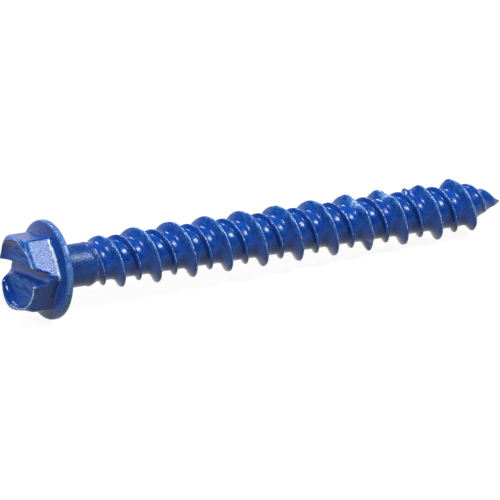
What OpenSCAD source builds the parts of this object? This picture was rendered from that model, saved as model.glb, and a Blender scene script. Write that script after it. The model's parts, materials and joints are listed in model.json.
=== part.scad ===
// Concrete screw: slotted hex washer head, plain neck, high-low thread and pointed tip, all one piece.
// Lengths are in millimetres, angles in degrees. The screw lies on the ground plane z = 0, tip toward +X.
// Each shape is drawn about the Z axis, with the bearing face at z = 0 and the tip at +Z, then laid down.

/* [Overall] */
// Length from the bearing face to the tip
length = 44.45; // [32:0.05:76]

/* [Hex] */
// Width of the hex across its flats
hex_width = 6.3; // [5.5:0.05:7]
// Height from the bearing face to the top of the hex
head_height = 3.4; // [2.8:0.05:4.5]
// Turn of the hex about the axis
hex_turn = 20; // [0:1:60]
// Radius of the rounding over the hex corners
crown_round = 0.82; // [0.4:0.02:1.1]
// Radius on which the flats curve in toward the top
flat_round = 1; // [0.4:0.05:1.4]
// How far the flats have curved in at the top
flat_lean = 0.22; // [0.05:0.01:0.3]
// Width across the mouth of the dished top
dish_width = 5.96; // [5:0.02:6.1]
// Depth of the dished top
dish_depth = 0.7; // [0.2:0.05:1]
// Width of the curve from the floor of the dish up to its mouth
dish_curve = 1.1; // [0.6:0.05:1.6]

/* [Slot] */
// Width of the slot at its floor
slot_floor_width = 0.95; // [0.6:0.05:1.2]
// Width of the slot at the rim of the hex
slot_mouth_width = 1.35; // [1:0.05:1.8]
// Depth of the slot below the rim
slot_depth = 1.5; // [1:0.05:1.9]
// Turn of the slot about the axis
slot_turn = 82.5; // [0:0.5:180]
// How far the slot stands off the axis
slot_offset = 0.12; // [0:0.02:0.3]

/* [Flange] */
// Diameter of the flange
flange_diameter = 8.66; // [8:0.02:10]
// Thickness of the flange at its rim
rim_thickness = 0.55; // [0.4:0.05:0.8]
// Further rise of the flange from its rim to the hex
flange_rise = 0.2; // [0.1:0.05:0.4]
// Rounding of the flange edges
edge_round = 0.14; // [0.06:0.02:0.2]

/* [Neck] */
// Diameter of the plain neck
neck_diameter = 3.72; // [3.5:0.02:4]
// Length of the plain neck
neck_length = 3.6; // [2.6:0.1:6]
// Length of the cone from the neck down to the thread root
run_in = 0.6; // [0.4:0.1:2]
// Fillet between the neck and the bearing face
neck_fillet = 0.25; // [0.1:0.05:0.5]

/* [Thread] */
// Diameter over the high thread
high_diameter = 5.04; // [4.6:0.02:5.6]
// Diameter over the low thread
low_diameter = 4.2; // [3.8:0.02:4.4]
// Diameter at the thread root
root_diameter = 3.3; // [3:0.02:3.46]
// Advance of the thread in one turn
pitch = 3.49; // [2.8:0.01:4.4]
// Width of the high thread at its crest
high_crest = 0.16; // [0.08:0.01:0.3]
// Width of the high thread at its root
high_base = 1.2; // [0.9:0.01:1.4]
// How far the high crest leans toward the tip
high_lean = 0.1; // [0:0.01:0.15]
// Width of the low thread at its crest
low_crest = 0.12; // [0.05:0.01:0.2]
// Width of the low thread at its root
low_base = 0.68; // [0.4:0.01:0.8]
// How far the low crest leans toward the tip
low_lean = 0.04; // [0:0.01:0.08]
// Share of a pitch by which the high thread leads along the underside
thread_phase = 0.95; // [0:0.01:1]
// How far before the end of the neck the threads begin to rise
fade_lead = 0.4; // [0.2:0.05:0.8]
// Length in which the high thread gains most of its height
high_fade = 1.45; // [0.6:0.05:2.5]
// Length in which the low thread gains most of its height
low_fade = 0.6; // [0.3:0.05:1.5]

/* [Tip] */
// Full angle of the pointed tip
tip_angle = 45; // [36:1:80]
// Share by which the point is fuller on its upper side
point_swell = 0.45; // [0:0.05:0.6]
// Length over which the high thread falls away toward the tip
high_taper = 3.5; // [2.4:0.1:5]
// Bare length from the end of the high thread to the tip
high_end = 0.1; // [0:0.05:1]
// Length over which the low thread falls away toward the tip
low_taper = 3.4; // [1.6:0.1:5]
// Bare length from the end of the low thread to the tip
low_end = 1; // [0.5:0.05:2]

/* [Notches] */
// Depth of the cutting notches in the high thread
notch_depth = 0.36; // [0.1:0.02:0.5]
// Places of the cutting notches, in turns back from the tip
notch_turns = [1.43, 2.38, 3.28, 3.93, 4.24]; // [1:0.01:8]

/* [Hidden] */
// Coating colour
coating = [0.1, 0.22, 0.56];
// Facets round each turned face
$fn = 96;
// Facets round one turn of the thread, a multiple of four so that one edge line runs along the underside
columns = 32;
// Lengths within which a thread point is moved to the start ring or to the tip
start_snap = 0.08;
tip_snap = 0.2;
// Overlap where two shapes are joined
overlap = 0.3;
// How far the thread reaches back into the neck, and the cone of the neck down into the thread root
thread_sink = 1;
run_sink = 0.08;
// Clearance of the rounding outside the hex corners, and of the cuts above the top of the hex
crown_margin = 0.02;
cut_margin = 1;
// Thickness of the slices that the leaning flats are drawn through
slice = 0.01;

flange_radius = flange_diameter / 2;
flange_height = rim_thickness + flange_rise;
corner_radius = hex_width / sqrt(3);
crown_out = corner_radius + crown_margin;
crown_in = crown_out - crown_round;
dish_radius = dish_width / 2;
neck_radius = neck_diameter / 2;
root_radius = root_diameter / 2;
high_rise = high_diameter / 2 - root_radius;
low_rise = low_diameter / 2 - root_radius;
thread_start = neck_length - thread_sink;
fade_start = neck_length - fade_lead;

// Axial places of the eight edge lines in one pitch, measured from the middle of the high crest.
row_places = [
    -high_base / 2 - high_lean, -high_crest / 2, high_crest / 2, high_base / 2 - high_lean,
    (pitch - low_base) / 2 - low_lean, (pitch - low_crest) / 2,
    (pitch + low_crest) / 2, (pitch + low_base) / 2 - low_lean
];
// What each edge line is: 0 the root, 1 the high crest, 2 the low crest.
row_kinds = [0, 1, 1, 0, 0, 2, 2, 0];
rows_per_turn = len(row_places);
first_turn = floor((thread_start - row_places[0]) / pitch - thread_phase) - 1;
last_turn = ceil((length - row_places[rows_per_turn - 1]) / pitch - thread_phase);
row_count = rows_per_turn * (last_turn - first_turn + 1);

function clamp_share(value) = max(0, min(1, value));
function row_turn(row) = first_turn + floor(row / rows_per_turn);
function row_place(row) = row_places[row % rows_per_turn];
function point_z(row, column) = pitch * (row_turn(row) + thread_phase + column / columns) + row_place(row);
function fade(z, fade_length) = 1 - exp(-max(0, z - fade_start) / fade_length);
function taper(z, bare, taper_length) = clamp_share((length - bare - z) / taper_length);
function swell(column) = 1 + point_swell * (1 - cos(360 * column / columns)) / 2;
function core_radius(z, column) = min(root_radius, (length - z) * tan(tip_angle / 2) * swell(column));

// The notch nearest the given turn cuts one column deep into the high crest.
function notch_column(back_turns) = round((length / pitch - back_turns - thread_phase) * columns);
function is_notched(turn_column) =
    len([for (back = notch_turns) if (notch_column(back) == turn_column) back]) > 0;
function notch_cut(turn_column) = is_notched(turn_column) ? notch_depth : 0;
function high_height(z) = high_rise * fade(z, high_fade) * taper(z, high_end, high_taper);
function low_height(z) = low_rise * fade(z, low_fade) * taper(z, low_end, low_taper);
function high_radius(z, turn_column) =
    core_radius(z, turn_column) + max(0, high_height(z) - notch_cut(turn_column));
function point_radius(row, column, z) =
    row_kinds[row % rows_per_turn] == 1 ? high_radius(z, row_turn(row) * columns + column) :
    row_kinds[row % rows_per_turn] == 2 ? core_radius(z, column) + low_height(z) :
    core_radius(z, column);

// The start ring comes first in the list of points, then the tip, then the thread points row by row.
function thread_point(row, column) =
    let (z = max(thread_start, min(length, point_z(row, column))))
    let (radius = point_radius(row, column, z))
    [radius * cos(360 * column / columns), radius * sin(360 * column / columns), z];
function ring_point(column) =
    [root_radius * cos(360 * column / columns), root_radius * sin(360 * column / columns), thread_start];
function point_index(row, column) =
    column == columns ? point_index(row + rows_per_turn, 0) :
    point_z(row, column) < thread_start + start_snap ? column :
    point_z(row, column) > length - tip_snap ? columns :
    columns + 1 + row * columns + column;
function proper(face) = face[0] != face[1] && face[1] != face[2] && face[2] != face[0];

// The angle at which the screw lies: the flange and the lowest thread crest both touch the ground.
round_radius = flange_radius - edge_round;
round_z = -edge_round;
underside_turns = [for (turn = [max(0, first_turn):last_turn]) if (crest_z(turn) < length - low_end) turn];
function crest_z(turn) = pitch * (turn + thread_phase) + high_crest / 2;
function crest_radius(turn) = high_radius(crest_z(turn), turn * columns);
function touch_angle(turn) =
    let (run = crest_z(turn) - round_z)
    let (drop = round_radius - crest_radius(turn))
    atan2(drop, run) + asin(edge_round / sqrt(run * run + drop * drop));
lie_angle = min([for (turn = underside_turns) touch_angle(turn)]);
lift = round_radius * cos(lie_angle) + round_z * sin(lie_angle) + edge_round;
rim_in = max(0, dish_radius - crown_in);
rim_height = head_height - crown_round + sqrt(pow(crown_round, 2) - pow(rim_in, 2));
back_x = -rim_height * cos(lie_angle) - dish_radius * sin(lie_angle);
middle_x = (length * cos(lie_angle) + back_x) / 2;

// Hex whose flats curve in toward the top and whose corners are rounded over.
module hex_block() {
    crown = [
        for (step = [0:15:90])
            [crown_in + crown_round * sin(step), -head_height + crown_round * (1 - cos(step))]
    ];
    lean_angle = acos(1 - flat_lean / flat_round);
    straight = head_height - flat_round * sin(lean_angle);
    intersection() {
        rotate([0, 0, hex_turn])
            hull() {
                translate([0, 0, -straight])
                    cylinder(r = corner_radius, h = straight - overlap, $fn = 6);
                for (step = [0.25:0.25:1])
                    translate([0, 0, -straight - flat_round * sin(step * lean_angle)])
                        cylinder(
                            r = corner_radius - flat_round * (1 - cos(step * lean_angle)) / cos(30),
                            h = slice, $fn = 6
                        );
            }
        rotate_extrude()
            polygon(concat([[0, -head_height]], crown, [[crown_out, 0], [0, 0]]));
    }
}

// Flange, neck and the cone that leads down to the thread root, turned as one profile.
module flange_and_neck() {
    front_edge = [
        for (step = [0:30:90])
            [
                flange_radius - edge_round + edge_round * sin(step),
                -rim_thickness + edge_round - edge_round * cos(step)
            ]
    ];
    back_edge = [
        for (step = [0:30:90])
            [flange_radius - edge_round + edge_round * cos(step), -edge_round + edge_round * sin(step)]
    ];
    fillet = [
        for (step = [0:30:90])
            [neck_radius + neck_fillet * (1 - sin(step)), neck_fillet * (1 - cos(step))]
    ];
    step_in = neck_radius - root_radius;
    run_end = neck_length + run_in * (step_in + run_sink) / step_in;
    neck_end = [[neck_radius, neck_length], [root_radius - run_sink, run_end], [0, run_end]];
    rotate_extrude()
        polygon(
            concat(
                [[0, -flange_height], [crown_out, -flange_height]],
                front_edge, back_edge, fillet, neck_end
            )
        );
}

// Dished hollow in the top of the hex: a flat floor that curves up to a steep wall.
module dish() {
    floor_z = -head_height + dish_depth;
    above = -head_height - cut_margin;
    wall = [
        for (step = [0:15:90])
            [dish_radius - dish_curve * (1 - sin(step)), floor_z - dish_depth * (1 - cos(step))]
    ];
    rotate_extrude()
        polygon(concat([[0, floor_z]], wall, [[dish_radius, above], [0, above]]));
}

// Screwdriver slot, a little wider at its mouth than at its floor.
module slot() {
    cut_depth = slot_depth + cut_margin;
    cut_width = slot_floor_width + (slot_mouth_width - slot_floor_width) * cut_depth / slot_depth;
    floor_z = -head_height + slot_depth;
    rotate([0, 0, slot_turn])
        translate([-flange_radius, slot_offset, floor_z])
            rotate([90, 0, 90])
                linear_extrude(height = flange_diameter)
                    polygon([
                        [-slot_floor_width / 2, 0],
                        [slot_floor_width / 2, 0],
                        [cut_width / 2, -cut_depth],
                        [-cut_width / 2, -cut_depth]
                    ]);
}

// Thread root with the high and the low thread, from inside the neck to the point.
module thread() {
    points = concat(
        [for (column = [0:columns - 1]) ring_point(column)],
        [[0, 0, length]],
        [for (row = [0:row_count - 1]) for (column = [0:columns - 1]) thread_point(row, column)]
    );
    faces = [
        for (row = [0:row_count - 2])
            for (column = [0:columns - 1])
                let (a = point_index(row, column))
                let (b = point_index(row, column + 1))
                let (c = point_index(row + 1, column + 1))
                let (d = point_index(row + 1, column))
                for (face = [[a, d, c], [a, c, b]])
                    if (proper(face)) face
    ];
    start_face = [for (column = [0:columns - 1]) column];
    polyhedron(points = points, faces = concat([start_face], faces), convexity = 8);
}

// The whole screw, laid on the ground.
module screw() {
    color(coating)
        translate([-middle_x, 0, lift])
            rotate([0, 90 + lie_angle, 0])
                union() {
                    difference() {
                        union() {
                            hex_block();
                            flange_and_neck();
                        }
                        dish();
                        slot();
                    }
                    thread();
                }
}

screw();
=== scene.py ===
"""Looks of a blue coated concrete screw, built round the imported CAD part.

The screw is one closed mesh. Its head is the zero surface of a distance function, so that every edge is
rounded as on cold-headed steel, and its threaded part is a grid that follows the thread's helix.
Sizes are in millimetres in the screw's own axes, with the bearing face at z = 0 and the tip at +z.
"""
import json
import math

import bpy
import numpy as np
from mathutils import Matrix, Vector


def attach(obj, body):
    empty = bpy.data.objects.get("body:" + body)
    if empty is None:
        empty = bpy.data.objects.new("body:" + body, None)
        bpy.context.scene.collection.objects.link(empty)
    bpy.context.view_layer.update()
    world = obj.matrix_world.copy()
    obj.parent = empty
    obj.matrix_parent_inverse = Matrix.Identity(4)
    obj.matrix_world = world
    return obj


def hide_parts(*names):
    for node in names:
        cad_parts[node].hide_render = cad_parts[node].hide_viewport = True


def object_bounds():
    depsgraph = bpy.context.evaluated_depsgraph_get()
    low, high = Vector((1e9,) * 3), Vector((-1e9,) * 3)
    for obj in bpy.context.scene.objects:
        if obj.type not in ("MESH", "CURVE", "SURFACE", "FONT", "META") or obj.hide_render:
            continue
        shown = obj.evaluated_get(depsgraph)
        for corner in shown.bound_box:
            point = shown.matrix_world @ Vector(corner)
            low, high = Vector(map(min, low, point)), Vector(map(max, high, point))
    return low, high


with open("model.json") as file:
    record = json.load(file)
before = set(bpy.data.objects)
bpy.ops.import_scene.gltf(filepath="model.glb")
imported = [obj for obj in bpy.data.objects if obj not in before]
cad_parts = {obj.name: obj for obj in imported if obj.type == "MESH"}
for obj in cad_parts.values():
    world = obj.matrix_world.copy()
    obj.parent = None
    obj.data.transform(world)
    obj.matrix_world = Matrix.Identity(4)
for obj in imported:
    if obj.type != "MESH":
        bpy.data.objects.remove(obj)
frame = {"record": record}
cad_low, cad_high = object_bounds()

MM = 0.001

# Hex, crown and dish of the head
HEX_WIDTH = 6.3
HEAD_HEIGHT = 3.4
HEX_TURN = math.radians(20)
HEX_ROUND = 1.0
HEX_CORNER_BLEND = 0.1
HEX_TOP = 3.78
HEAD_TILT = 0.05
CROWN_ROUND = 0.82
CROWN_CLEARANCE = 0.02
CROWN_RADIUS = HEX_WIDTH / math.sqrt(3) + CROWN_CLEARANCE
CROWN_BLEND = 0.14
DISH_WIDTH = 5.96
DISH_DEPTH = 0.7
DISH_CURVE = 1.1
DISH_BLEND = 0.11

# Slot, with the pushed lip and the battered corners beside it
# The batter's slope is along the slot, across it and upward
SLOT_FLOOR_WIDTH = 0.95
SLOT_MOUTH_WIDTH = 1.35
SLOT_DEPTH = 1.5
SLOT_TURN = math.radians(82.5)
SLOT_OFFSET = 0.12
SLOT_BLEND = 0.12
SLOT_FLOOR_BLEND = 0.25
LIP_PUSH = 0.28
LIP_TURN = math.radians(20)
LIP_EDGE_COSINE = 0.6
BATTER_SLOPE = (0.35, 0.75, 0.55)
BATTER_INSET = 0.2
BATTER_BLEND = 0.3
FAR_CUT = 0.4
FAR_REACH = 0.0
NEAR_CUT = 0.2
NEAR_REACH = SLOT_MOUTH_WIDTH / 2

# Flange and neck
FLANGE_RADIUS = 4.33
RIM_THICKNESS = 0.55
FLANGE_RISE = 0.2
FLANGE_EDGE_BLEND = 0.2
FLANGE_BACK_BLEND = 0.16
FLANGE_ROOT_BLEND = 0.13
NECK_RADIUS = 1.86
NECK_LENGTH = 3.6
NECK_FILLET = 0.2

# Thread and point, with the phase and the next crest's start in pitches
LENGTH = 44.45
RUN_IN = 0.6
ROOT_RADIUS = 1.65
HIGH_RADIUS = 2.52
LOW_RADIUS = 2.1
PITCH = 3.49
THREAD_PHASE = 0.95
NEXT_CREST = 0.75
HIGH_CREST = 0.2
HIGH_BASE = 1.04
HIGH_LEAN = 0.1
HIGH_HOLLOW = 0.42
LOW_CREST = 0.16
LOW_BASE = 0.6
LOW_LEAN = 0.04
LOW_HOLLOW = 0.12
CREST_BLEND = 0.12
RIDGE_BLEND = 0.05
FADE_START = 3.2
HIGH_FADE = 1.45
LOW_FADE = 0.6
HIGH_END = 0.1
HIGH_TAPER = 3.5
LOW_END = 1.0
LOW_TAPER = 3.4
TIP_ANGLE = math.radians(45)
POINT_SWELL = 0.45
POINT_BLEND = 0.3
CLOSE_START = 30.0
CLOSE_SHARE = 0.018

# Notches in the high thread and its uneven rolling
# Places are turns of the helix back from the tip, the half width is in turns and the edge in half widths
NOTCH_TURNS = (1.43, 2.38, 3.28, 3.93, 4.24)
NOTCH_HALF_WIDTH = 0.075
NOTCH_DEPTH = 0.36
NOTCH_PUSH = 0.12
NOTCH_PUSH_WIDTH = 0.3
NOTCH_BURR = 0.06
NOTCH_EDGE = 1.3
NOTCH_EDGE_SPAN = 0.5
CREST_RIPPLE = 0.02
RIPPLE_RATES = (7.3, 2.1)

# Lobe of pushed metal between the ridges, with its turn and span round the screw in turns
LOBE_TURN = 0.403
LOBE_SPAN = 0.05
LOBE_PLACE = 35.48
LOBE_LENGTH = 0.24
LOBE_HEIGHT = 0.63

# Mesh fineness
HEAD_STEP = 0.078
HEAD_MARGIN = 0.2
NECK_JOIN = 1.0
COLUMNS = 104
JOIN_GAP = 0.12
FIRST_ROW_GAP = 0.02
LAST_ROW_GAP = 0.06
ROW_SHARES = (1, 0.79, 0.58, 0.4, 0.26, 0.15, 0.07)
ROOT_ROWS = 3
SLOPE_STEP = 0.01
BULGE_STEP = 0.09
SURFACE_ROUNDS = 3
RELAX_ROUNDS = 4
RELAX_SHARE = 0.6
TINY = 1e-6

# Places on the head and neck where the coating is worn, scuffed, smooth or dull, and where a highlight and a
# reflection are painted
SOFT_EDGE = 0.1
SHARP_START = 2.5
SHARP_SPAN = 5
RIM_BAND = 0.35
RIM_WEAR = 0.7
RIM_WEAR_SPAN = 3
RIM_WEAR_LIMITS = (0.45, 1.2)
FLANGE_BAND = 0.2
FLANGE_WEAR = 0.36
FLANGE_SCUFF = 0.684
CROWN_BAND = 0.75
CROWN_FADE = 0.3
CROWN_SCUFF = 0.75
# Painted highlight: a pale line along the base of the hex flat that faces up toward the camera
LEDGE_HEIGHT = 0.98
LEDGE_WIDTH = 0.115
LEDGE_INSET = 0.3
LEDGE_HIGHLIGHT = 1.6
NEAR_FLAT_START = 1.6
NEAR_FLAT_FADE = 0.3
NEAR_FLAT_SIDE_FADE = 1 / 3
DISH_MARGIN = 0.3
DISH_FADE = 0.2
WALL_SMOOTHNESS = 0.95
FAR_SIDE_START = 1.0
FAR_SIDE_FADE = 0.5
SLOT_FLOOR_BAND = 0.12
NECK_START = 0.05
NECK_FADE = 0.3
HEAD_PEEL = 1
NECK_PEEL = 0.3
THREAD_PEEL = 0.36
RUN_OUT_PEEL = 0.9

# Places on the thread where the coating is worn or scuffed, with painted light on the upper side and painted
# shade on the low ridge's head-side flank
HIGH_WEAR_WIDTH = 0.04
LOW_WEAR_WIDTH = 0.038
LOW_WEAR = 0.8
LOW_WEAR_FADE = 0.2
NOTCH_WEAR = 0.9
NOTCH_WEAR_BACK = 0.12
NOTCH_WEAR_WIDTH = 0.3
RUN_IN_WEAR = 0.45
RUN_IN_WEAR_PLACE = 0.08
RUN_IN_WEAR_WIDTH = 0.07
TIP_WEAR_FADE = 1.5
# Scuffs near the high crest, made lighter toward the screw's upper side: the lighter upper side is painted
# light
SCUFF_BACK = 0.1
SCUFF_WIDTH = 0.18
TOP_LIGHT_MEAN = 0.3
TOP_LIGHT_SWING = 0.8
TOP_LIGHT_LEAST = 0.05
# Painted shade: a dark band on the low ridge's head-side flank, strongest low on the side toward the camera
FLANK_SHADE_BACK = 0.24
FLANK_SHADE_WIDTH = 0.15
FLANK_SHADE_MEAN = 0.4
FLANK_SHADE_SWING = 0.9
FLANK_SHADE_TURN = math.radians(300)

# Colours of the coating
BLUE = (0.001, 0.034, 0.28, 1)
CLOUDY_BLUE = (0.002, 0.057, 0.34, 1)
NECK_BLUE = (0.009, 0.045, 0.22, 1)
NECK_TINT = 0.8
# Painted shade on the low ridge's head-side flank
FLANK_SHADE_BLUE = (0.003, 0.021, 0.12, 1)
FLANK_SHADE_TINT = 0.8
# Scuffed coating, and painted light on the thread's upper flanks
SCUFFED_AND_LIT_BLUE = (0.067, 0.25, 0.63, 1)
GRAIN_BLUE = (0.027, 0.16, 0.56, 1)
BRUSHED_BLUE = (0.055, 0.2, 0.66, 1)
# Painted reflection: the slot floor is lighter, as if it caught a light
SLOT_SHEEN_BLUE = (0.035, 0.095, 0.4, 1)
THIN_BLUE = (0.21, 0.42, 0.72, 1)
# Bare metal at worn edges, and the painted highlight line on the hex ledge
BARE_AND_LIT_EDGE = (0.76, 0.87, 1, 1)

# Noise patterns of the coating: scale per metre, detail and, where it is not the usual one, roughness
CLOUD_NOISE = (500, 3, 0.6)
LUMP_NOISE = (2600, 2)
PEEL_NOISE = (6000, 2)
GRAIN_NOISE = (13000, 1)
STREAK_NOISE = (2400, 4, 0.7)
CHIP_NOISE = (2600, 3, 0.65)
FLECK_NOISE = (7000, 1)
BRUSH_NOISE = (3200, 3, 0.6)
LUMP_STRETCH = (2.2, 0.8, 0.8)
STREAK_STRETCH = (3, 0.7, 0.7)
BRUSH_STRETCH = (1, 0.18, 1)

# Values of a pattern between which its effect goes from none to full
CLOUD_RANGE = (0.35, 0.68)
STREAK_RANGE = (0.45, 0.6)
GRAIN_RANGE = (0.5, 0.85)
BRUSH_RANGE = (0.38, 0.75)
CHIP_RANGE = (0.3, 0.66)
THIN_RANGE = (0.1, 0.7)
FLECK_RANGE = (0.5, 0.72)
BARE_AND_LIT_RANGE = (1.1, 1.5)
BRUSH_DULL_RANGE = (0.9, -0.6)
FLECK_DULL_RANGE = (0.75, -4.5)
GRAIN_DULL_RANGE = (-0.5, 3.2)
SKIN_DULL_RANGE = (-2.4, 1.0)

# Skin and gloss of the coating, with the bump's depth in metres
PEEL_HEIGHT = 2.3
LUMP_HEIGHT = 0.9
BUMP_DEPTH = 1.1e-5
SMOOTH_ROUGHNESS = 0.13
SPECULAR_LEVEL = 0.37
SPECULAR_TINT = (0.75, 0.9, 1, 1)

# Camera, with the view's distance and end in metres
VIEW_AZIMUTH = math.radians(-29.0)
VIEW_ELEVATION = math.radians(21.4)
VIEW_DISTANCE = 1.285
VIEW_END = 20
PIXELS_PER_MM = 11.584
AXIS_POINT = 22.0
AXIS_PIXEL = (274.35, 235.05)
IMAGE_SIZE = 500
SENSOR = 36.0

# Studio, with distances in metres
WHITE = (1, 1, 1, 1)
FLOOR_GREY = (0.1, 0.1, 0.1, 1)
FLOOR_GLOW = 0.93
FLOOR_HALF = 3.0
BACKDROP_PLACE = 2.4
BACKDROP_HEIGHT = 1.2
SKY_LEVEL = 0.05
LIGHT_DISTANCE = 0.6

# Lights: name, direction from the screw, half angles along and around the screw in degrees, watts
LIGHTS = (
    ("key", (0.44, -0.44, 0.78), 5.6, 9, 2.65),
    ("wide", (0.45, -0.32, 0.83), 13, 13, 0.26),
    ("top", (-0.08, 0.64, 0.77), 3.7, 7.8, 1.5),
    ("side", (-0.69, -0.28, 0.67), 9, 6.5, 2.0),
    ("fill", (-0.8, -0.1, 0.59), 30, 30, 0.13),
    ("front", (-0.15, -0.95, 0.28), 25, 25, 0.19),
)


# Shares and distance functions

def smooth_max(a, b, blend):
    """The larger of a and b, rounded over where they are within blend of each other."""
    share = np.clip(0.5 + 0.5 * (a - b) / blend, 0, 1)
    return b + (a - b) * share + blend * share * (1 - share)


def smooth_min(a, b, blend):
    """The smaller of a and b, rounded in where they are within blend of each other."""
    return -smooth_max(-a, -b, blend)


def rise(value, span):
    """A share that climbs from 0 to 1 while the value goes from 0 to the span."""
    return np.clip(value / span, 0, 1)


def bell(value, width):
    """A share that is 1 where the value is 0 and falls away within the width."""
    return np.exp(-((value / width) ** 2))


def rounded_corner(side, top, radius):
    """Distance out of the corner between a side and a top, each given as a distance."""
    outward = side + radius
    upward = top + radius
    beyond = np.hypot(np.maximum(outward, 0), np.maximum(upward, 0))
    return np.minimum(np.maximum(outward, upward), 0) + beyond - radius


def hex_distance(x, y, z):
    """Distance out of the hex, whose flats curve in near the rim."""
    side = None
    for flat in range(3):
        angle = HEX_TURN + math.pi / 6 + flat * math.pi / 3
        across = np.abs(x * math.cos(angle) + y * math.sin(angle)) - HEX_WIDTH / 2
        side = across if side is None else smooth_max(side, across, HEX_CORNER_BLEND)
    return rounded_corner(side, -z - HEX_TOP, HEX_ROUND)


def dish_distance(radius, z):
    """Distance out of the hollow top, whose flat floor turns up into a steep wall."""
    outward = np.maximum(radius - DISH_WIDTH / 2 + DISH_CURVE, 0) / DISH_CURVE
    downward = np.maximum(z + HEAD_HEIGHT, 0) / DISH_DEPTH
    share = np.hypot(outward, downward) + TINY
    return (share - 1) * share / (np.hypot(outward / DISH_CURVE, downward / DISH_DEPTH) + TINY)


def slot_distance(across, z):
    """Distance out of the screwdriver slot, whose walls lean out toward its mouth."""
    floor_z = SLOT_DEPTH - HEAD_HEIGHT
    lean = (SLOT_MOUTH_WIDTH - SLOT_FLOOR_WIDTH) / 2 / SLOT_DEPTH
    wall = np.abs(across - SLOT_OFFSET) - SLOT_FLOOR_WIDTH / 2 - lean * (floor_z - z)
    return smooth_max(wall, z - floor_z, SLOT_FLOOR_BLEND)


def lip_push(x, y, z):
    """How far the lip of one jaw is hammered outward."""
    facing = np.cos(np.arctan2(y, x) - LIP_TURN)
    share = rise(facing - LIP_EDGE_COSINE, 1 - LIP_EDGE_COSINE) * rise(-z - HEAD_HEIGHT / 2, HEAD_HEIGHT / 4)
    return LIP_PUSH * share**2


def battered_corner(along, across, upward, cut, reach):
    """Distance into a cut over the corner where the rim ends at the slot, as far as reach into the slot."""
    outward = BATTER_SLOPE[0] * along + BATTER_SLOPE[1] * across + BATTER_SLOPE[2] * upward
    return np.minimum(outward + cut, reach - across)


def flange_distance(radius, z):
    """Distance out of the flange, which rises a little from its rim to the hex."""
    slope = FLANGE_RISE / (FLANGE_RADIUS - CROWN_RADIUS)
    front = (-z - RIM_THICKNESS - slope * (FLANGE_RADIUS - radius)) / math.hypot(1, slope)
    side = smooth_max(front, radius - FLANGE_RADIUS, FLANGE_EDGE_BLEND)
    return smooth_max(side, z, FLANGE_BACK_BLEND)


def head_distance(points):
    """Distance out of the head and the start of the neck."""
    x, y, z = points[..., 0], points[..., 1], points[..., 2]
    radius = np.hypot(x, y)
    along = x * math.cos(SLOT_TURN) + y * math.sin(SLOT_TURN)
    across = -x * math.sin(SLOT_TURN) + y * math.cos(SLOT_TURN)
    tilted_z = z + HEAD_TILT * across
    crown = rounded_corner(radius - CROWN_RADIUS, -tilted_z - HEAD_HEIGHT, CROWN_ROUND)
    block = smooth_max(hex_distance(x, y, tilted_z), crown, CROWN_BLEND)
    block = np.maximum(block - lip_push(x, y, tilted_z), z + RIM_THICKNESS / 2)
    block = smooth_max(block, -dish_distance(radius, tilted_z), DISH_BLEND)
    block = smooth_max(block, -slot_distance(across, z), SLOT_BLEND)
    rim = DISH_WIDTH / 2 - BATTER_INSET
    below = SLOT_OFFSET - SLOT_MOUTH_WIDTH / 2
    above = SLOT_OFFSET + SLOT_MOUTH_WIDTH / 2
    upward = -tilted_z - HEAD_HEIGHT
    far_corner = battered_corner(along - rim, across - below, upward, FAR_CUT, FAR_REACH)
    near_corner = battered_corner(-along - rim, above - across, upward, NEAR_CUT, NEAR_REACH)
    block = smooth_max(block, far_corner, BATTER_BLEND)
    block = smooth_max(block, near_corner, BATTER_BLEND)
    neck = np.maximum(radius - NECK_RADIUS, -z - RIM_THICKNESS / 2)
    body = smooth_min(block, flange_distance(radius, z), FLANGE_ROOT_BLEND)
    return smooth_min(body, neck, NECK_FILLET)


def axis_steps(step):
    """A step along each of the three axes."""
    return step * np.eye(3)


def slope_of(distance, points):
    """The distance function's gradient at each point."""
    slope = np.empty_like(points)
    for axis, shift in enumerate(axis_steps(SLOPE_STEP)):
        slope[:, axis] = (distance(points + shift) - distance(points - shift)) / (2 * SLOPE_STEP)
    return slope


def bulge_of(distance, points):
    """How sharply the surface bulges at each point, from the distance function's second differences."""
    total = -6 * distance(points)
    for shift in axis_steps(BULGE_STEP):
        total += distance(points + shift) + distance(points - shift)
    return total / BULGE_STEP**2


def onto_surface(distance, points):
    """Points moved along the slope, in a few rounds, to where the distance is zero."""
    for _ in range(SURFACE_ROUNDS):
        slope = slope_of(distance, points)
        points = points - slope * (distance(points) / (slope**2).sum(1))[:, None]
    return points


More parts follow.
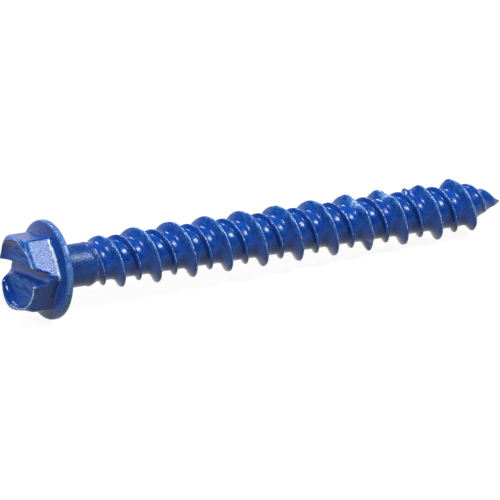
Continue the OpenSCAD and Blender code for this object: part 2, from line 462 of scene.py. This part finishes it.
def surface_net(distance, low, high, step):
    """Points and quads of the surface where the distance is zero, inside a box."""
    lines = [np.arange(a, b + step / 2, step) for a, b in zip(low, high)]
    grid = np.stack(np.meshgrid(*lines, indexing="ij"), -1)
    value = distance(grid)
    cells = np.array(value.shape) - 1
    place_sum = np.zeros((*cells, 3))
    crossing_count = np.zeros(cells)
    edges = []
    for axis in range(3):
        near = np.take(value, range(value.shape[axis] - 1), axis)
        far = np.take(value, range(1, value.shape[axis]), axis)
        crossed = (near < 0) != (far < 0)
        corner = np.argwhere(crossed)
        place = corner.astype(float)
        place[:, axis] += near[crossed] / (near[crossed] - far[crossed])
        first, second = (axis + 1) % 3, (axis + 2) % 3
        around = []
        for first_step, second_step in ((0, 0), (-1, 0), (-1, -1), (0, -1)):
            cell = corner.copy()
            cell[:, first] += first_step
            cell[:, second] += second_step
            kept = np.all((cell >= 0) & (cell < cells), 1)
            np.add.at(place_sum, tuple(cell[kept].T), place[kept])
            np.add.at(crossing_count, tuple(cell[kept].T), 1)
            around.append(np.where(kept[:, None], cell, -1))
        edges.append((np.stack(around, 1), near[crossed] < 0))
    used = crossing_count > 0
    number = np.full(cells, -1)
    number[used] = np.arange(used.sum())
    points = place_sum[used] / crossing_count[used][:, None] * step + np.array(low)
    quads = []
    for around, leaves in edges:
        kept = np.all(around[..., 0] >= 0, 1)
        ring = number[tuple(np.moveaxis(around[kept], -1, 0))]
        quads.append(np.where(leaves[kept][:, None], ring, ring[:, ::-1]))
    return onto_surface(distance, points), np.concatenate(quads)


def open_edge(quads):
    """Numbers of the points on the open edge of the net."""
    sides = np.sort(np.stack([quads, np.roll(quads, -1, 1)], -1).reshape(-1, 2), 1)
    pairs, count = np.unique(sides, axis=0, return_counts=True)
    return np.unique(pairs[count == 1])


def relaxed(distance, points, quads, fixed):
    """Points of the net evened out along the surface, apart from the fixed ones."""
    for _ in range(RELAX_ROUNDS):
        total = np.zeros_like(points)
        count = np.zeros(len(points))
        for step in (1, 3):
            np.add.at(total, quads, points[np.roll(quads, step, 1)])
            np.add.at(count, quads, 1)
        moved = total / np.maximum(count, 1)[:, None]
        moved[fixed] = points[fixed]
        points = onto_surface(distance, points + RELAX_SHARE * (moved - points))
    return points


# Thread

def ridge(offset, height, crest, base, lean, hollow):
    """Height of a thread ridge at an axial offset from its crest, with a round crest and hollow flanks."""
    reach = base / 2 - lean * np.sign(offset)
    flank = height * (reach - np.abs(offset)) / (reach - crest / 2)
    foot = smooth_max(flank, 0 * flank, hollow)
    return np.maximum(smooth_min(foot, height, CREST_BLEND), 0)


def core_radius(z, turn):
    """Radius of the neck, the thread root and the point, which is fuller on one side."""
    run = rise(z - NECK_LENGTH, RUN_IN)
    neck = NECK_RADIUS + (ROOT_RADIUS - NECK_RADIUS) * run * run * (3 - 2 * run)
    swell = 1 + POINT_SWELL * (1 - np.cos(2 * math.pi * turn)) / 2
    point = (LENGTH - z) * math.tan(TIP_ANGLE / 2) * swell
    return np.maximum(smooth_min(neck, point, POINT_BLEND), 0)


def notch_distance(turn):
    """How far a place on the helix is from the nearest notch, in turns."""
    middles = [LENGTH / PITCH - back - THREAD_PHASE for back in NOTCH_TURNS]
    return np.min([np.abs(turn - middle) for middle in middles], 0)


def notch_share(turn):
    """How far a place on the helix is into one of the notches, from 0 to 1."""
    return np.clip(1 - notch_distance(turn) / NOTCH_HALF_WIDTH, 0, 1)


def crest_change(turn):
    """Change in the high thread's height, from its notches, their raised edges and its uneven rolling."""
    from_notch = notch_distance(turn) / NOTCH_HALF_WIDTH
    burr = np.clip(1 - np.abs(from_notch - NOTCH_EDGE) / NOTCH_EDGE_SPAN, 0, 1)
    wave = np.prod([np.sin(2 * math.pi * rate * turn) for rate in RIPPLE_RATES], 0)
    return NOTCH_BURR * burr + CREST_RIPPLE * wave - NOTCH_DEPTH * notch_share(turn)


def thread_radius(z, offset, turn):
    """Radius at height z, at an axial offset from the high crest, on the given turn of the helix."""
    past_start = np.maximum(z - FADE_START, 0)
    high_rise = (HIGH_RADIUS - ROOT_RADIUS) * rise(LENGTH - HIGH_END - z, HIGH_TAPER)
    high_rise = high_rise * (1 - np.exp(-past_start / HIGH_FADE))
    low_rise = (LOW_RADIUS - ROOT_RADIUS) * rise(LENGTH - LOW_END - z, LOW_TAPER)
    low_rise = low_rise * (1 - np.exp(-past_start / LOW_FADE))
    ahead = offset > NEXT_CREST * PITCH
    high = ridge(offset - PITCH * ahead, high_rise, HIGH_CREST, HIGH_BASE, HIGH_LEAN, HIGH_HOLLOW)
    high = np.maximum(0, high + crest_change(turn + ahead) * high / (HIGH_RADIUS - ROOT_RADIUS))
    low = ridge(offset - PITCH / 2, low_rise, LOW_CREST, LOW_BASE, LOW_LEAN, LOW_HOLLOW)
    around = turn - LOBE_TURN
    lobe = LOBE_HEIGHT * bell(z - LOBE_PLACE, LOBE_LENGTH) * bell(around - np.round(around), LOBE_SPAN)
    return core_radius(z, turn) + smooth_max(high, low, RIDGE_BLEND) + lobe


def row_offsets():
    """Axial places of the grid lines within one pitch, closest together on the two crests."""
    falling = np.array(ROW_SHARES)

    def across_ridge(base, lean):
        return np.concatenate([-(base / 2 + lean) * falling, [0], (base / 2 - lean) * falling[::-1]])

    high = across_ridge(HIGH_BASE, HIGH_LEAN)
    low = PITCH / 2 + across_ridge(LOW_BASE, LOW_LEAN)
    first_root = np.linspace(high[-1], low[0], ROOT_ROWS + 2)[1:-1]
    second_root = np.linspace(low[-1], PITCH + high[0], ROOT_ROWS + 2)[1:-1]
    return np.concatenate([high, first_root, low, second_root])


def thread_looks(z, offset, turn, angle):
    """Wear of the crests, scuffs with painted light on the high ridge's upper side, and painted shade on the
    low ridge's flank, at each point of the thread's grid.
    """
    past_neck = z - NECK_LENGTH
    before_tip = rise(LENGTH - HIGH_END - z, TIP_WEAR_FADE)
    notch = notch_share(turn)
    high = bell(offset, HIGH_WEAR_WIDTH) * (1 - notch)
    high = high + NOTCH_WEAR * bell(offset + NOTCH_WEAR_BACK, NOTCH_WEAR_WIDTH) * notch
    high = high * rise(past_neck, HIGH_FADE)
    low = LOW_WEAR * bell(offset - PITCH / 2, LOW_WEAR_WIDTH) * rise(past_neck, LOW_WEAR_FADE)
    run_in = RUN_IN_WEAR * bell(past_neck - RUN_IN_WEAR_PLACE, RUN_IN_WEAR_WIDTH)
    wear = np.clip((high + low) * before_tip + run_in, 0, 1)
    # Painted light: the scuffed tone grows toward the upper side of the screw
    upper = np.clip(TOP_LIGHT_MEAN - TOP_LIGHT_SWING * np.cos(angle), TOP_LIGHT_LEAST, 1)
    scuff_and_top_light = np.exp(-np.abs(offset + SCUFF_BACK) / SCUFF_WIDTH) * before_tip * upper
    # Painted shade, darkest low on the side toward the camera
    lower = np.clip(FLANK_SHADE_MEAN + FLANK_SHADE_SWING * np.cos(angle - FLANK_SHADE_TURN), 0, 1)
    flank_shade = bell(offset - PITCH / 2 + FLANK_SHADE_BACK, FLANK_SHADE_WIDTH) * lower * rise(past_neck, LOW_FADE)
    return {"pale_edge": wear, "scuff_and_top_light": scuff_and_top_light, "shade": flank_shade}


def thread_grid(start):
    """Points, triangles and looks of the thread, from a ring on the neck at height start to the tip."""
    offsets = row_offsets()
    per_turn = len(offsets)
    first_turn = math.floor((start - offsets[0]) / PITCH - THREAD_PHASE) - 1
    last_turn = math.ceil((LENGTH - offsets[-1]) / PITCH - THREAD_PHASE) + 1
    turns = np.repeat(np.arange(first_turn, last_turn + 1), per_turn)
    column = np.arange(COLUMNS)
    turn = turns[:, None] + column / COLUMNS
    offset = np.tile(offsets, last_turn - first_turn + 1)[:, None] + 0 * turn
    z = PITCH * (turn + THREAD_PHASE) + offset
    z = z - CLOSE_SHARE * np.maximum(z - CLOSE_START, 0)
    radius = thread_radius(z, offset, turn)
    z = z + NOTCH_PUSH * notch_share(turn) * bell(offset, NOTCH_PUSH_WIDTH)
    angle = 2 * math.pi * column / COLUMNS
    points = np.stack([radius * np.cos(angle), radius * np.sin(angle), z], -1).reshape(-1, 3)
    ring = np.stack([NECK_RADIUS * np.cos(angle), NECK_RADIUS * np.sin(angle), 0 * angle + start], -1)
    tip = np.array([[0, 0, LENGTH]])

    # Grid points short of the ring or past the tip give way to the ring's points and the tip
    number = COLUMNS + 1 + np.arange(z.size).reshape(z.shape)
    number = np.where(z < start + FIRST_ROW_GAP, column, number)
    number = np.where(z > LENGTH - LAST_ROW_GAP, COLUMNS, number)
    after = np.concatenate([number[per_turn:, :1], np.full((per_turn, 1), COLUMNS)])
    number = np.concatenate([number, after], 1)
    a, b, c, d = number[:-1, :-1], number[:-1, 1:], number[1:, 1:], number[1:, :-1]
    triangles = np.concatenate([np.stack(corners, -1).reshape(-1, 3) for corners in ((a, b, c), (a, c, d))])
    ordered = np.sort(triangles, 1)
    triangles = triangles[(ordered[:, 0] != ordered[:, 1]) & (ordered[:, 1] != ordered[:, 2])]

    padding = np.zeros(COLUMNS + 1)
    looks = thread_looks(z, offset, turn, angle)
    looks = {name: np.concatenate([padding, look.reshape(-1)]) for name, look in looks.items()}
    points = np.concatenate([ring, tip, points])
    looks["neck"] = rise(NECK_LENGTH + NECK_FADE - points[:, 2], NECK_FADE)
    looks["peel"] = THREAD_PEEL + RUN_OUT_PEEL * looks["neck"]
    return points, triangles, looks


def angle_of(points):
    """Angle of each point round the axis, from 0 to a full turn."""
    return np.arctan2(points[:, 1], points[:, 0]) % (2 * math.pi)


def join_rings(lower, upper, points):
    """Triangles between two rings of points that are each in order of angle round the axis."""
    def angles(ring):
        around = angle_of(points[ring])
        return np.append(around, around[0] + 2 * math.pi)

    lower_angle, upper_angle = angles(lower), angles(upper)
    triangles = []
    i = j = 0
    while i < len(lower) or j < len(upper):
        a, b = lower[i % len(lower)], upper[j % len(upper)]
        if j == len(upper) or (i < len(lower) and lower_angle[i + 1] <= upper_angle[j + 1]):
            i += 1
            triangles.append((a, lower[i % len(lower)], b))
        else:
            j += 1
            triangles.append((a, upper[j % len(upper)], b))
    return triangles


def placed(points):
    """Points in the screw's own axes, moved to where the CAD part lies, in metres."""
    mount = next(m for m in frame["record"]["mounts"] if m["name"] == "bearing_face")
    axis = Vector(mount["axis"]).normalized()
    side = Vector((0, 1, 0))
    turn = np.array([side.cross(axis), side, axis])
    return points @ turn * MM + np.array(mount["pos_m"])


def head_looks(points):
    """Values at each point of the head and the start of the neck that steer the coating."""
    x, y, z = points.T
    radius = np.hypot(x, y)
    depth = HEAD_HEIGHT + z
    sharp = rise(bulge_of(head_distance, points) - SHARP_START, SHARP_SPAN)
    on_rim = rise(RIM_BAND - depth, SOFT_EDGE) * np.clip(RIM_WEAR - y / RIM_WEAR_SPAN, *RIM_WEAR_LIMITS)
    on_flange = rise(radius - FLANGE_RADIUS + FLANGE_BAND, SOFT_EDGE)
    on_crown = rise(CROWN_BAND - depth, CROWN_FADE) * (radius > DISH_WIDTH / 2)
    on_ledge = np.exp(-(((z + LEDGE_HEIGHT) / LEDGE_WIDTH) ** 4)) * (radius < FLANGE_RADIUS - LEDGE_INSET)
    on_near_flat = rise(-y - NEAR_FLAT_START, NEAR_FLAT_FADE) * rise(-x, NEAR_FLAT_SIDE_FADE)
    in_dish = rise(DISH_DEPTH + DISH_MARGIN - depth, SOFT_EDGE)
    on_wall = rise(radius - DISH_WIDTH / 2 + DISH_CURVE, DISH_FADE) * (radius < DISH_WIDTH / 2)
    on_far_side = rise(y - FAR_SIDE_START, FAR_SIDE_FADE)
    on_dish_floor = rise(DISH_WIDTH / 2 - DISH_CURVE / 2 - radius, DISH_FADE)
    across = -x * math.sin(SLOT_TURN) + y * math.cos(SLOT_TURN) - SLOT_OFFSET
    in_slot = (np.abs(across) < SLOT_FLOOR_WIDTH / 2) & (radius < CROWN_RADIUS)
    on_neck = rise(z - NECK_START, SOFT_EDGE)
    pale_edge = np.maximum(sharp * on_rim, FLANGE_WEAR * on_flange)
    return {
        # The pale line on the ledge of the near flat is a painted highlight
        "pale_edge": np.maximum(pale_edge, LEDGE_HIGHLIGHT * on_ledge * on_near_flat),
        "scuff_and_top_light": np.maximum(FLANGE_SCUFF * on_flange, CROWN_SCUFF * on_crown),
        "hollow": on_dish_floor * in_dish,
        "smooth": np.maximum(on_ledge, WALL_SMOOTHNESS * in_dish * on_wall * on_far_side),
        # Painted reflection on the slot floor
        "slot": 1.0 * (in_slot & (np.abs(depth - SLOT_DEPTH) < SLOT_FLOOR_BAND)),
        "neck": on_neck,
        "shade": np.zeros(len(points)),
        "peel": HEAD_PEEL + NECK_PEEL * on_neck,
    }


def make_screw():
    """The whole screw as one closed mesh, with values at each point that steer the coating."""
    reach = FLANGE_RADIUS + HEAD_MARGIN
    low, high = (-reach, -reach, -HEAD_HEIGHT - HEAD_MARGIN), (reach, reach, NECK_JOIN)
    head, quads = surface_net(head_distance, low, high, HEAD_STEP)
    edge = open_edge(quads)
    head = relaxed(head_distance, head, quads, edge)
    edge = edge[np.argsort(angle_of(head[edge]))]
    thread, triangles, on_thread = thread_grid(head[:, 2].max() + JOIN_GAP)
    triangles = triangles + len(head)
    points = np.concatenate([head, thread])
    bridge = join_rings(edge, len(head) + np.arange(COLUMNS), points)
    faces = quads.tolist() + triangles.tolist() + bridge

    used = np.zeros(len(points), bool)
    used[quads] = True
    used[triangles] = True
    number = np.cumsum(used) - 1
    mesh = bpy.data.meshes.new("coated_screw")
    mesh.from_pydata(placed(points[used]).tolist(), [], [[int(number[i]) for i in face] for face in faces])
    nothing = np.zeros(len(thread))
    for name, on_head in head_looks(head).items():
        value = np.concatenate([on_head, on_thread.get(name, nothing)])[used]
        mesh.attributes.new(name, "FLOAT", "POINT").data.foreach_set("value", value.astype(np.float32))
    mesh.polygons.foreach_set("use_smooth", [True] * len(mesh.polygons))
    mesh.update()
    screw = bpy.data.objects.new("coated_screw", mesh)
    bpy.context.scene.collection.objects.link(screw)
    mesh.materials.append(coating_material())
    return screw


# Materials

class Nodes:
    """Short calls for making and linking the nodes of one material."""

    def __init__(self, material):
        material.use_nodes = True
        self.tree = material.node_tree
        self.tree.nodes.clear()

    def make(self, kind, settings=None, **inputs):
        """A node with its settings, and with its inputs set or linked."""
        made = self.tree.nodes.new("ShaderNode" + kind)
        for name, value in (settings or {}).items():
            setattr(made, name, value)
        for name, value in inputs.items():
            self.feed(made.inputs[name.replace("_", " ")], value)
        return made

    def feed(self, socket, value):
        """Link a socket to another one, or give it a value."""
        if isinstance(value, bpy.types.NodeSocket):
            self.tree.links.new(value, socket)
        else:
            socket.default_value = value

    def math(self, operation, first, second):
        made = self.make("Math", {"operation": operation})
        self.feed(made.inputs[0], first)
        self.feed(made.inputs[1], second)
        return made.outputs[0]

    def noise(self, place, scale, detail, roughness=0.5):
        made = self.make("TexNoise", Vector=place, Scale=scale, Detail=detail, Roughness=roughness)
        return made.outputs["Fac"]

    def stretched(self, place, factors):
        made = self.make("VectorMath", {"operation": "MULTIPLY"})
        self.feed(made.inputs[0], place)
        self.feed(made.inputs[1], factors)
        return made.outputs[0]

    def times(self, first, second):
        return self.math("MULTIPLY", first, second)

    def plus(self, first, second):
        return self.math("ADD", first, second)

    def ramp(self, value, low, high):
        """A share that goes from 0 to 1 while the value goes from low to high."""
        return self.make("MapRange", Value=value, From_Min=low, From_Max=high).outputs["Result"]

    def mix(self, share, first, second):
        """A colour between two, through the colour sockets of the mix node."""
        made = self.make("Mix", {"data_type": "RGBA"})
        self.feed(made.inputs["Factor"], share)
        self.feed(made.inputs[6], first)
        self.feed(made.inputs[7], second)
        return made.outputs[2]

    def attribute(self, name):
        return self.make("Attribute", {"attribute_name": name}).outputs["Fac"]


def coating_material():
    """Glossy blue paint with an orange-peel skin, cloudy colour and pale worn edges, with painted light: a
    highlight line on one hex flat, a reflection on the slot floor, lighter scuffs on the thread's upper side
    and shade on the low ridge's flank.
    """
    material = bpy.data.materials.new("blue_coating")
    nodes = Nodes(material)
    place = nodes.make("TexCoord").outputs["Object"]
    cloud = nodes.noise(place, *CLOUD_NOISE)
    lumps = nodes.noise(nodes.stretched(place, LUMP_STRETCH), *LUMP_NOISE)
    peel = nodes.noise(place, *PEEL_NOISE)
    grain = nodes.noise(place, *GRAIN_NOISE)
    streak = nodes.noise(nodes.stretched(place, STREAK_STRETCH), *STREAK_NOISE)
    chips = nodes.noise(place, *CHIP_NOISE)
    flecks = nodes.noise(place, *FLECK_NOISE)
    brush = nodes.noise(nodes.stretched(place, BRUSH_STRETCH), *BRUSH_NOISE)
    edge = nodes.attribute("pale_edge")
    hollow = nodes.attribute("hollow")
    neck = nodes.attribute("neck")
    skin = nodes.attribute("peel")
    smooth = nodes.attribute("smooth")

    colour = nodes.mix(nodes.ramp(cloud, *CLOUD_RANGE), BLUE, CLOUDY_BLUE)
    colour = nodes.mix(nodes.times(neck, NECK_TINT), colour, NECK_BLUE)
    # Painted shade on the low ridge's flank
    colour = nodes.mix(nodes.times(nodes.attribute("shade"), FLANK_SHADE_TINT), colour, FLANK_SHADE_BLUE)
    # Scuffs, with painted light on the thread's upper side
    scuffed_and_lit = nodes.times(nodes.attribute("scuff_and_top_light"), nodes.ramp(streak, *STREAK_RANGE))
    colour = nodes.mix(scuffed_and_lit, colour, SCUFFED_AND_LIT_BLUE)
    colour = nodes.mix(nodes.ramp(grain, *GRAIN_RANGE), colour, GRAIN_BLUE)
    brushed = nodes.times(hollow, nodes.ramp(brush, *BRUSH_RANGE))
    colour = nodes.mix(brushed, colour, BRUSHED_BLUE)
    # Painted reflection on the slot floor
    colour = nodes.mix(nodes.attribute("slot"), colour, SLOT_SHEEN_BLUE)
    thin = nodes.ramp(nodes.times(edge, nodes.ramp(chips, *CHIP_RANGE)), *THIN_RANGE)
    colour = nodes.mix(thin, colour, THIN_BLUE)
    # Bare metal at worn edges, and the painted highlight on the hex ledge
    bare_and_lit = nodes.ramp(nodes.plus(edge, nodes.ramp(flecks, *FLECK_RANGE)), *BARE_AND_LIT_RANGE)
    colour = nodes.mix(bare_and_lit, colour, BARE_AND_LIT_EDGE)

    height = nodes.plus(nodes.times(peel, PEEL_HEIGHT), nodes.times(lumps, LUMP_HEIGHT))
    height = nodes.times(height, skin)
    rough = nodes.math("SUBTRACT", 1.0, smooth)
    bump = nodes.make("Bump", Strength=rough, Distance=BUMP_DEPTH, Height=height)
    dull = nodes.times(hollow, nodes.ramp(brush, *BRUSH_DULL_RANGE))
    dull = nodes.plus(dull, nodes.times(neck, nodes.ramp(flecks, *FLECK_DULL_RANGE)))
    sheen = nodes.times(nodes.ramp(grain, *GRAIN_DULL_RANGE), nodes.ramp(skin, *SKIN_DULL_RANGE))
    sheen = nodes.plus(nodes.times(sheen, rough), dull)
    sheen = nodes.plus(sheen, nodes.times(smooth, SMOOTH_ROUGHNESS))
    shader = nodes.make("BsdfPrincipled", Base_Color=colour, Roughness=sheen, Normal=bump.outputs["Normal"])
    shader.inputs["Specular IOR Level"].default_value = SPECULAR_LEVEL
    shader.inputs["Specular Tint"].default_value = SPECULAR_TINT
    nodes.make("OutputMaterial", Surface=shader.outputs[0])
    return material


def floor_material():
    """White sweep that shows the shadow, and throws little light back at the screw."""
    material = bpy.data.materials.new("white_floor")
    nodes = Nodes(material)
    rays = nodes.make("LightPath").outputs
    seen = nodes.math("MAXIMUM", rays["Is Camera Ray"], rays["Is Glossy Ray"])
    seen = nodes.math("MAXIMUM", seen, rays["Is Transmission Ray"])
    shaded = nodes.make("BsdfDiffuse", Color=FLOOR_GREY)
    glow = nodes.make("Emission", Color=WHITE, Strength=nodes.times(seen, FLOOR_GLOW))
    both = nodes.make("AddShader")
    nodes.feed(both.inputs[0], shaded.outputs[0])
    nodes.feed(both.inputs[1], glow.outputs[0])
    nodes.make("OutputMaterial", Surface=both.outputs[0])
    return material


# Scene

def make_camera():
    """A long lens at the photograph's viewing angle, aimed so that the screw lands where it does there."""
    flat = math.cos(VIEW_ELEVATION)
    back = Vector((math.sin(VIEW_AZIMUTH) * flat, -math.cos(VIEW_AZIMUTH) * flat, math.sin(VIEW_ELEVATION)))
    right = Vector((math.cos(VIEW_AZIMUTH), math.sin(VIEW_AZIMUTH), 0))
    up = back.cross(right)
    pixel = MM / PIXELS_PER_MM
    middle = Vector(placed(np.array([0, 0, AXIS_POINT])))
    middle += right * (IMAGE_SIZE / 2 - AXIS_PIXEL[0]) * pixel
    middle -= up * (IMAGE_SIZE / 2 - AXIS_PIXEL[1]) * pixel
    data = bpy.data.cameras.new("camera")
    data.sensor_width = SENSOR
    data.lens = SENSOR * VIEW_DISTANCE / (IMAGE_SIZE * pixel)
    data.clip_end = VIEW_END
    camera = bpy.data.objects.new("camera", data)
    turn = Matrix((right, up, back)).transposed().to_4x4()
    camera.matrix_world = Matrix.Translation(middle + back * VIEW_DISTANCE) @ turn
    bpy.context.scene.collection.objects.link(camera)
    bpy.context.scene.camera = camera


def soft_light(name, direction, along, around, power):
    """An oval studio light that faces the screw, with its half angles along the screw and around it."""
    data = bpy.data.lights.new(name, "AREA")
    data.shape = "ELLIPSE"
    data.size = 2 * LIGHT_DISTANCE * math.tan(math.radians(around))
    data.size_y = 2 * LIGHT_DISTANCE * math.tan(math.radians(along))
    data.energy = power
    light = bpy.data.objects.new(name, data)
    toward = Vector(direction).normalized()
    side = Vector((1, 0, 0)).cross(toward).normalized()
    turn = Matrix((side, toward.cross(side), toward)).transposed().to_4x4()
    light.matrix_world = Matrix.Translation(toward * LIGHT_DISTANCE) @ turn
    bpy.context.scene.collection.objects.link(light)


def make_floor():
    """Floor that turns up into a backdrop a long way behind the screw."""
    half, back = FLOOR_HALF, BACKDROP_PLACE
    corners = [(-half, -half, 0), (half, -half, 0), (half, back, 0), (-half, back, 0)]
    corners += [(half, back, BACKDROP_HEIGHT), (-half, back, BACKDROP_HEIGHT)]
    mesh = bpy.data.meshes.new("floor")
    mesh.from_pydata(corners, [], [(0, 1, 2, 3), (3, 2, 4, 5)])
    mesh.materials.append(floor_material())
    floor = bpy.data.objects.new("floor", mesh)
    floor.location.z = cad_low[2]
    bpy.context.scene.collection.objects.link(floor)


def make_world():
    """A faint even light from all round."""
    world = bpy.data.worlds.new("studio")
    world.use_nodes = True
    background = world.node_tree.nodes["Background"]
    background.inputs["Color"].default_value = WHITE
    background.inputs["Strength"].default_value = SKY_LEVEL
    bpy.context.scene.world = world


screw = make_screw()
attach(screw, "root")
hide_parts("screw")
make_floor()
make_camera()
for light in LIGHTS:
    soft_light(*light)
make_world()
bpy.context.scene.view_settings.view_transform = "Standard"
